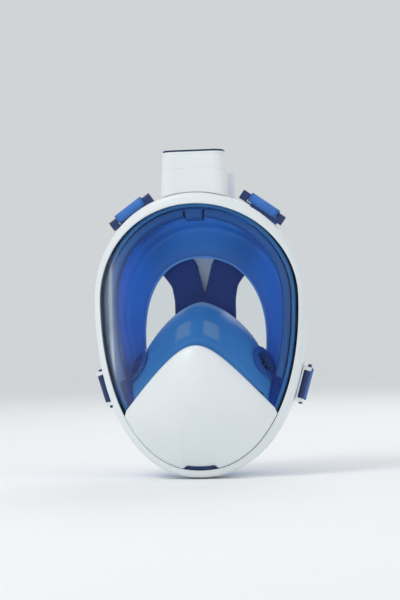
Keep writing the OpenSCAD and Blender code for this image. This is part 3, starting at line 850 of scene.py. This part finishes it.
def webbing(name, node, matrix, path, width, body="mask", steps=8):
    """A flat woven strap along a path of (z, y) points in the local frame, with UVs in metres."""
    line = catmull([Vector(p) for p in path], steps)
    lengths = [0.0]
    for a, b in zip(line, line[1:]):
        lengths.append(lengths[-1] + (b - a).length)
    half = width / 2
    edge = 0.45 * STRAP_T
    lane = [(-half, 0), (-half + 0.25 * edge, 0.62), (-half + edge, 0.95)] \
        + [(x * MM, 1.0) for x in range(int(-half / MM) + 2, int(half / MM) - 1)] \
        + [(half - edge, 0.95), (half - 0.25 * edge, 0.62), (half, 0)]
    section = lane + [(x, -h) for x, h in reversed(lane[1:-1])]
    grid = []
    for i, p in enumerate(line):
        ahead = (line[min(i + 1, len(line) - 1)] - line[max(i - 1, 0)]).normalized()
        side = Vector((-ahead.y, ahead.x))
        row = []
        for x, h in section:
            q = p + side * (h * STRAP_T / 2)
            row.append(matrix @ Vector((x, q.y, q.x)))
        grid.append(row)
    mesh = grid_mesh(name, grid, False, True)
    bm = bmesh.new()
    bm.from_mesh(mesh)
    bmesh.ops.holes_fill(bm, edges=[e for e in bm.edges if e.is_boundary])
    bmesh.ops.recalc_face_normals(bm, faces=bm.faces)
    layer = bm.loops.layers.uv.new("strap")
    count = len(section)
    for face in bm.faces:
        for loop in face.loops:
            i, j = divmod(loop.vert.index, count)
            loop[layer].uv = (lengths[i], section[j][0])
    bm.to_mesh(mesh)
    bm.free()
    obj = link(name, mesh, WEBBING, body, "webbing_blue")
    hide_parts(node)
    return obj, line


def sort_faces(bm):
    """Puts the faces in one fixed order, as the sphere tool lists them in another order each run."""
    bm.verts.index_update()
    total = len(bm.verts)

    def rank(face):
        a, b, c = sorted(v.index for v in face.verts)[:3]
        return (a * total + b) * total + c

    bm.faces.sort(key=rank)


def stitches(name, matrix, line, width, rows):
    """Thread stitches across a strap, a little proud of both faces, at these indexes of its line."""
    size = Matrix.Diagonal((*STITCH_SIZE, 1))
    bm = bmesh.new()
    for i in rows:
        p = line[i]
        ahead = (line[i + 1] - line[i - 1]).normalized()
        side = Vector((-ahead.y, ahead.x))
        count = int(width / STITCH_PITCH)
        for k in range(count):
            x = (k - (count - 1) / 2) * STITCH_PITCH
            for face in (-1, 1):
                q = p + side * face * (STRAP_T / 2 + 0.05 * MM)
                place = matrix @ Matrix.Translation(Vector((x, q.y, q.x))) @ size
                bmesh.ops.create_uvsphere(bm, u_segments=8, v_segments=6, radius=1, matrix=place)
    sort_faces(bm)
    mesh = bpy.data.meshes.new(name)
    bm.to_mesh(mesh)
    bm.free()
    return link(name, mesh, THREAD, "mask", "webbing_blue")


def straps():
    for name, side in SIDES.items():
        upper = strap_frame(side, UPPER_TURN, UPPER_TILT)
        h = (HARNESS_Y - upper.translation.y) / MM
        path = [(3, 7), (3, -0.8), (3.9, -2.6), (6.1, -3.3), (8.2, -2.6), (9, -0.8), (8.6, 7),
                (6.6, 16), (3, 26), (-1, h - 6), (-6, h - 2), (-14, h), (-28, h), (-42, h), (-57, h)]
        node = f"upper_strap_{name}"
        _, line = webbing(node + "_webbing", node, upper, [Vector(p) * MM for p in path], UPPER_W)
        rows = (58, 62, len(line) - 6, len(line) - 10)
        stitches(node + "_stitches", upper, line, UPPER_W - 4 * MM, rows)
        lower = strap_frame(side, LOWER_TURN, LOWER_TILT)
        h = (HARNESS_Y - lower.translation.y) / MM
        c = (CHEEK_Y - lower.translation.y) / MM
        z = CLIP_Z / MM
        path = [(-64, h), (-58, h), (-52, h), (-46, h + 2), (-39, c - 2.4), (-34, c), (-24, c),
                (-14, c), (-4, c), (1.5, c - 2), (4, c - 6), (z + 1, 26), (z + 2.2, 21),
                (z + 2.2, 15.6), (z + 1.4, 14.2), (z, 13.6), (z - 1.4, 14.2), (z - 2.2, 15.6),
                (z - 2.2, 20), (z - 1.2, 24), (z - 0.9, 27)]
        node = f"lower_strap_{name}"
        band, line = webbing(node + "_webbing", node, lower, [Vector(p) * MM for p in path], LOWER_W,
                             None)
        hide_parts(f"strap_tail_{name}")
        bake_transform(band)
        stitches(node + "_stitches", lower, line, LOWER_W - 4 * MM, (6, 10))


PAD_STEP = 1.6 * MM          # spacing of the pad's inner points
PAD_ROLL = 2.2 * MM          # radius of its round edge
PAD_SEAM = (4.2 * MM, 0.7 * MM)  # inset and half-width of the sewn line
PAD_RIB = 0.8 * MM           # half-width of the crease down its middle


def head_pad():
    low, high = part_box("head_pad")
    middle, half_t = (low.y + high.y) / 2, (high.y - low.y) / 2
    half = [(0, 34.5), (6, 59), (14, 70), (36, 54.4), (26, 41), (24, 30), (24, -8), (17, -32.5),
            (9, -28), (0, -26.5)]
    corners = [(Vector(p) * MM, 3 * MM) for p in half]
    corners += [(Vector((-p[0], p[1])) * MM, 3 * MM) for p in reversed(half[1:-1])]
    edge = rounded_corners(corners, 6)
    lines = list(zip(edge, edge[1:] + edge[:1]))

    def gap(p, a, b):
        foot, share = geometry.intersect_point_line(p, a, b)
        return (foot.to_2d() - p).length if 0 <= share <= 1 else min((a - p).length, (b - p).length)

    def depth(p):
        """Distance from the pad's edge."""
        return min(gap(p, a, b) for a, b in lines)

    inside = []
    z = low.z
    row = 0
    while z < high.z:
        x = low.x + (0.5 * PAD_STEP if row % 2 else 0)
        while x < high.x:
            p = Vector((x, z))
            crossings = sum((a.y > z) != (b.y > z) and x < (b.x - a.x) * (z - a.y) / (b.y - a.y) + a.x
                            for a, b in lines)
            if crossings % 2 and depth(p) > 0.5 * PAD_STEP:
                inside.append(p)
            x += PAD_STEP
        z += PAD_STEP * 0.87
        row += 1
    border = [(i, (i + 1) % len(edge)) for i in range(len(edge))]
    points, _, faces, *_ = geometry.delaunay_2d_cdt(edge + inside, border, [], 1, 0.01 * MM)
    depths = [depth(p) for p in points]

    def plump(p, d):
        swell = math.sqrt(max(0, 1 - (1 - min(1, d / PAD_ROLL)) ** 2))
        seam = math.exp(-((d - PAD_SEAM[0]) / PAD_SEAM[1]) ** 2)
        rib = math.exp(-(p.x / PAD_RIB) ** 2)
        return half_t * (swell - 0.5 * seam - 0.45 * rib * smooth(d / (4 * MM)))

    n = len(points)
    verts = [Vector((p.x, middle - plump(p, d), p.y)) for p, d in zip(points, depths)]
    verts += [Vector((p.x, middle + plump(p, d), p.y)) for p, d in zip(points, depths)]
    skin = [tuple(f) for f in faces] + [tuple(n + i for i in reversed(f)) for f in faces]
    mesh = mesh_of("head_pad_knit", verts, skin)
    bm = bmesh.new()
    bm.from_mesh(mesh)
    bmesh.ops.remove_doubles(bm, verts=bm.verts, dist=0.01 * MM)
    bmesh.ops.recalc_face_normals(bm, faces=bm.faces)
    bm.to_mesh(mesh)
    bm.free()
    obj = link("head_pad_knit", mesh, PAD_KNIT, "mask", "pad_navy")
    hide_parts("head_pad")
    return obj


# ---------- hardware that keeps its CAD shape, with rounded edges ----------

HARDWARE = [
    # nodes, edge radius in mm, material, body, record slot
    (["chin_base", "drain_seat"], 0.3, NAVY_PLASTIC, "mask", "fitting_navy"),
    (["inhale_seat_left", "inhale_seat_right"], 0.3, BLUE_PLASTIC, "mask", "trim_blue"),
    (["valve_plate"], 0.3, WHITE_SOFT, "mask", "shell_white"),
    (["socket_gasket"], 0.25, NAVY_RUBBER, "mask", "seal_navy"),
    (["hinge_bracket", "lower_lug_left", "lower_lug_right"], 0.5, WHITE, "mask", "shell_white"),
    (["bracket_screws", "hinge_pin", "clip_pin_left", "clip_pin_right"], 0.2, STEEL, "mask", "pin_steel"),
    (["upper_loop_left", "upper_loop_right"], 0.6, NAVY_PLASTIC, "mask", "fitting_navy"),
    (["tube_base", "tube_head"], 0.8, WHITE, "tube", "shell_white"),
    (["tube_body"], 0.3, WHITE, "tube", "shell_white"),
    (["head_cap"], 0.8, BLUE_PLASTIC, "tube", "trim_blue"),
    (["head_seal"], 0.2, NAVY_RUBBER, "tube", "seal_navy"),
    (["lock_slider"], 0.3, BLUE_PLASTIC, "latch", "trim_blue"),
    (["float_left"], 0.5, ORANGE, "float_l", "float_orange"),
    (["float_right"], 0.5, ORANGE, "float_r", "float_orange"),
    (["inhale_disc_left"], 0.15, NAVY_RUBBER, "inhale_valve_l", "seal_navy"),
    (["inhale_disc_right"], 0.15, NAVY_RUBBER, "inhale_valve_r", "seal_navy"),
    (["exhale_flap_left"], 0.15, NAVY_RUBBER, "exhale_valve_l", "seal_navy"),
    (["exhale_flap_right"], 0.15, NAVY_RUBBER, "exhale_valve_r", "seal_navy"),
    (["drain_disc"], 0.15, BLUE_SKIRT, "drain_valve", "skirt_blue"),
    (["lower_clip_left"], 0.5, NAVY_PLASTIC, "clip_l", "fitting_navy"),
    (["lower_clip_right"], 0.5, NAVY_PLASTIC, "clip_r", "fitting_navy"),
    (["strap_slider_left"], 0.5, NAVY_PLASTIC, "slider_l", "fitting_navy"),
    (["strap_slider_right"], 0.5, NAVY_PLASTIC, "slider_r", "fitting_navy"),
]


def hardware():
    for names, radius, material, body, slot in HARDWARE:
        for node in names:
            rounded(node, radius * MM, material, body, slot, ribbed=node == "lock_slider")


# ---------- stage, light and camera ----------

VIEW_SIDE = 7.4             # degrees that the camera stands to the mask's left-hand side
VIEW_RISE = -1.0
VIEW_ROLL = 1.5
VIEW_DISTANCE = 1.5
LENS_MM = 76.8
FLOOR_R = 6
FLOOR_FADE = (0.5, 5.5)     # the floor turns clear between these distances


def stage():
    floor_z = cad_box[0].z - 1 * MM
    bpy.ops.mesh.primitive_circle_add(vertices=96, radius=FLOOR_R, fill_type="NGON",
                                      location=(0, 0, floor_z))
    floor = bpy.context.object
    floor.name = "floor"
    paper = Shader("pale_floor")
    grain = paper.ramp(paper.noise(6, 3), 0, 1)
    paper.set(base_color=paper.blend(grain, (0.96, 0.965, 0.97), (0.945, 0.955, 0.96)), roughness=0.9)
    far = paper.add("ShaderNodeVectorMath", {"Vector": paper.place}, operation="LENGTH")
    faded = paper.ramp(far.outputs["Value"], 0, 1, *FLOOR_FADE)
    paper.mix_surfaces(faded, paper.principled, paper.add("ShaderNodeBsdfTransparent"))
    floor.data.materials.append(paper.material)
    world = bpy.data.worlds.new("studio")
    bpy.context.scene.world = world
    world.use_nodes = True
    world.node_tree.nodes["Background"].inputs["Color"].default_value = (0.95, 0.98, 1.0, 1)
    world.node_tree.nodes["Background"].inputs["Strength"].default_value = 0.67
    bpy.context.scene.view_settings.view_transform = "Standard"


def area_light(name, place, size, energy, colour=(1, 1, 1)):
    data = bpy.data.lights.new(name, "AREA")
    data.shape = "RECTANGLE"
    data.size, data.size_y = size
    data.energy = energy
    data.color = colour
    obj = bpy.data.objects.new(name, data)
    bpy.context.scene.collection.objects.link(obj)
    obj.location = place
    obj.rotation_euler = (Vector((0, 0, 0.02)) - Vector(place)).to_track_quat("-Z", "Y").to_euler()


def lights():
    area_light("key", (-0.8, -1.0, 1.3), (0.7, 0.7), 9)
    area_light("fill", (1.3, -0.9, 0.5), (1.2, 1.4), 1.6, (0.95, 0.97, 1))
    area_light("back", (0.3, 1.3, 1.1), (1.2, 0.8), 5)


def camera():
    data = bpy.data.cameras.new("camera")
    data.sensor_fit = "VERTICAL"
    data.sensor_height = 24
    data.lens = LENS_MM
    obj = bpy.data.objects.new("camera", data)
    bpy.context.scene.collection.objects.link(obj)
    aim = Vector((-4.1 * MM, 0, Z_WIDE))
    a, e = math.radians(VIEW_SIDE), math.radians(VIEW_RISE)
    away = Vector((math.sin(a) * math.cos(e), -math.cos(a) * math.cos(e), math.sin(e)))
    obj.location = aim + away * VIEW_DISTANCE
    turn = (-away).to_track_quat("-Z", "Y").to_matrix().to_4x4()
    obj.rotation_euler = (turn @ Matrix.Rotation(math.radians(-VIEW_ROLL), 4, "Z")).to_euler()
    bpy.context.scene.camera = obj


camera()
stage()
lights()
front_frame()
rear_frame()
lens_seal()
lens()
chin_cover()
face_skirt()
nose_cup()
ducts()
snorkel_socket()
straps()
head_pad()
hardware()
